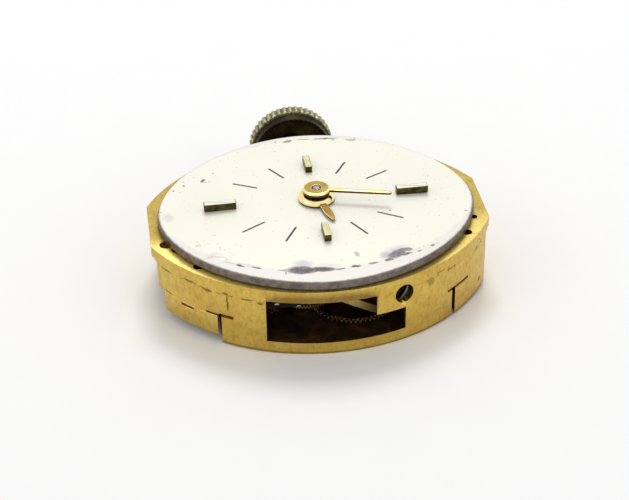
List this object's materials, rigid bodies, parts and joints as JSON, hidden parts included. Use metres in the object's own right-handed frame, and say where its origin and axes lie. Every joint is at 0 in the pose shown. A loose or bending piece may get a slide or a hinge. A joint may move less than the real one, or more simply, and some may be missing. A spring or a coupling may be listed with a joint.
{
  "type": "watch movement",
  "caption": "Small hand-wound mechanical watch movement of shaped form with dial, hands, keyless winding, going train, lever escapement and a stem with its crown.",
  "frame": {"origin": "the hand axis where it meets the plane of the bridges, on which the movement lies", "axes": "+X to 6 o'clock, +Y to 3 o'clock and along the stem towards the crown, +Z towards the dial"},
  "size_m": [0.0152, 0.0164, 0.005],
  "materials": {
    "gilt_brass": "matt gilt with fine turning marks, tarnished in places",
    "barrel_brass": "turned brass",
    "wheel_brass": "gilt, crossed-out wheel",
    "polished_steel": "polished steel",
    "spring_steel": "thin spring steel",
    "dark_steel": "dark screw steel",
    "ruby": "clear red stone",
    "silvered_dial": "satin silver-white, stained near the edge",
    "gilt_marker": "olive gilt, bright top facet",
    "hand_gilt": "polished gilt",
    "worn_crown": "worn plated brass, grime in the knurls"
  },
  "bodies": {
    "frame": {"main_plate": "gilt_brass", "barrel_bridge": "gilt_brass", "train_bridge": "gilt_brass", "balance_cock": "gilt_brass", "pallet_cock": "gilt_brass", "bridge_screws": "polished_steel", "pallet_cock_screws": "polished_steel", "plate_jewels": "ruby", "bridge_jewels": "ruby", "balance_cap_jewels": "ruby", "hairspring_stud": "polished_steel", "crown_wheel_screw": "polished_steel", "click_spring": "spring_steel", "click_screws": "polished_steel", "hairspring": "spring_steel", "dial_washer": "wheel_brass", "setting_lever_spring": "spring_steel", "yoke_spring": "spring_steel", "keyless_screws": "polished_steel", "dial": "silvered_dial", "dial_screws": "dark_steel", "hour_markers": "gilt_marker"},
    "winding_pinion_body": {"winding_pinion": "polished_steel"},
    "stem_body": {"winding_stem": "polished_steel", "crown": "worn_crown"},
    "clutch": {"sliding_pinion": "polished_steel"},
    "setting_lever_body": {"setting_lever": "polished_steel"},
    "yoke_body": {"yoke": "polished_steel"},
    "crown_wheel_body": {"crown_wheel": "polished_steel"},
    "ratchet_body": {"ratchet_wheel": "polished_steel", "ratchet_screw": "polished_steel", "barrel_arbor": "polished_steel"},
    "click_body": {"click": "polished_steel"},
    "centre_body": {"centre_wheel": "wheel_brass", "centre_pinion": "polished_steel"},
    "barrel_body": {"barrel_drum": "barrel_brass", "barrel_cover": "barrel_brass", "mainspring": "spring_steel"},
    "third_body": {"third_wheel": "wheel_brass", "third_pinion": "polished_steel"},
    "fourth_body": {"fourth_wheel": "wheel_brass", "fourth_pinion": "polished_steel"},
    "escape_body": {"escape_wheel": "polished_steel", "escape_pinion": "polished_steel"},
    "pallet_body": {"pallet_fork": "polished_steel", "pallet_stones": "ruby", "pallet_arbor": "polished_steel"},
    "balance_body": {"balance_wheel": "wheel_brass", "balance_screws": "wheel_brass", "balance_staff": "polished_steel", "roller": "polished_steel", "impulse_jewel": "ruby", "collet": "wheel_brass"},
    "regulator_body": {"regulator": "polished_steel"},
    "cannon_body": {"cannon_pinion": "polished_steel", "minute_hand": "hand_gilt"},
    "minute_wheel_body": {"minute_wheel": "wheel_brass"},
    "hour_body": {"hour_wheel": "wheel_brass", "hour_hand": "hand_gilt"},
    "setting_wheel_body": {"setting_wheel": "polished_steel"}
  },
  "joints": [
    {"name": "winding_turn", "type": "hinge", "parent": "frame", "child": "winding_pinion_body", "pos_m": [0, 0.0049, 0.0016], "axis": [0, 1, 0], "continuous": true},
    {"name": "stem_pull", "type": "slide", "parent": "winding_pinion_body", "child": "stem_body", "axis": [0, 1, 0], "range_m": [0, 0.00045]},
    {"name": "clutch_shift", "type": "slide", "parent": "winding_pinion_body", "child": "clutch", "axis": [0, 1, 0], "range_m": [-0.00045, 0]},
    {"name": "setting_lever_swing", "type": "hinge", "parent": "frame", "child": "setting_lever_body", "pos_m": [0.0021, 0.00475, 0.00298], "axis": [0, 0, 1], "range_deg": [-12.95, 0]},
    {"name": "yoke_swing", "type": "hinge", "parent": "frame", "child": "yoke_body", "pos_m": [-0.00235, 0.00355, 0.00298], "axis": [0, 0, 1], "range_deg": [-10.77, 0]},
    {"name": "crown_wheel_turn", "type": "hinge", "parent": "frame", "child": "crown_wheel_body", "pos_m": [0, 0.0026, 0.0002], "axis": [0, 0, 1], "continuous": true},
    {"name": "ratchet_turn", "type": "hinge", "parent": "frame", "child": "ratchet_body", "pos_m": [0.00364, 0.00068, 0.0002], "axis": [0, 0, 1], "continuous": true},
    {"name": "click_lift", "type": "hinge", "parent": "frame", "child": "click_body", "pos_m": [0.00183, -0.00119, 0.0002], "axis": [0, 0, 1], "range_deg": [0, 14]},
    {"name": "train_run", "type": "hinge", "parent": "frame", "child": "centre_body", "pos_m": [0, 0, 0.00248], "axis": [0, 0, 1], "continuous": true},
    {"name": "barrel_run", "type": "hinge", "parent": "frame", "child": "barrel_body", "pos_m": [0.00364, 0.00068, 0.0016], "axis": [0, 0, 1], "continuous": true},
    {"name": "third_run", "type": "hinge", "parent": "frame", "child": "third_body", "pos_m": [0.00111, -0.00333, 0.00076], "axis": [0, 0, 1], "continuous": true},
    {"name": "fourth_run", "type": "hinge", "parent": "frame", "child": "fourth_body", "pos_m": [-0.0011, -0.0036, 0.00146], "axis": [0, 0, 1], "continuous": true},
    {"name": "escape_run", "type": "hinge", "parent": "frame", "child": "escape_body", "pos_m": [-0.00249, -0.00385, 0.00181], "axis": [0, 0, 1], "continuous": true},
    {"name": "pallet_rock", "type": "hinge", "parent": "frame", "child": "pallet_body", "pos_m": [-0.00309, -0.00286, 0.0018], "axis": [0, 0, 1], "range_deg": [-6, 6]},
    {"name": "balance_swing", "type": "hinge", "parent": "frame", "child": "balance_body", "pos_m": [-0.00408, -0.00124, 0.00113], "axis": [0, 0, 1], "range_deg": [-270, 270], "stiffness_Nm_per_rad": 0.00000004, "deforming": ["hairspring"]},
    {"name": "regulator_turn", "type": "hinge", "parent": "frame", "child": "regulator_body", "pos_m": [-0.00408, -0.00124, 0.0003], "axis": [0, 0, 1], "range_deg": [-12, 12]},
    {"name": "minute_hand_run", "type": "hinge", "parent": "frame", "child": "cannon_body", "pos_m": [0, 0, 0.0042], "axis": [0, 0, 1], "continuous": true},
    {"name": "minute_wheel_run", "type": "hinge", "parent": "frame", "child": "minute_wheel_body", "pos_m": [-0.00113, 0.00124, 0.00284], "axis": [0, 0, 1], "continuous": true},
    {"name": "hour_hand_run", "type": "hinge", "parent": "frame", "child": "hour_body", "pos_m": [0, 0, 0.00307], "axis": [0, 0, 1], "continuous": true},
    {"name": "setting_wheel_run", "type": "hinge", "parent": "frame", "child": "setting_wheel_body", "pos_m": [0, 0.00275, 0.00285], "axis": [0, 0, 1], "continuous": true}
  ],
  "couplings": [
    {"joint": "clutch_shift", "follows": "stem_pull", "ratio": -1},
    {"joint": "setting_lever_swing", "follows": "stem_pull", "rad_per_m": -502.27},
    {"joint": "yoke_swing", "follows": "stem_pull", "rad_per_m": -417.72},
    {"joint": "crown_wheel_turn", "follows": "winding_turn", "ratio": 0.6},
    {"joint": "ratchet_turn", "follows": "winding_turn", "ratio": -0.64286},
    {"joint": "barrel_run", "follows": "train_run", "ratio": -0.13889},
    {"joint": "third_run", "follows": "train_run", "ratio": -8},
    {"joint": "fourth_run", "follows": "train_run", "ratio": 60},
    {"joint": "escape_run", "follows": "train_run", "ratio": -600},
    {"joint": "minute_hand_run", "follows": "train_run", "ratio": 1},
    {"joint": "minute_wheel_run", "follows": "train_run", "ratio": -0.33333},
    {"joint": "hour_hand_run", "follows": "train_run", "ratio": 0.083333},
    {"joint": "setting_wheel_run", "follows": "train_run", "ratio": 0.66667}
  ]
}
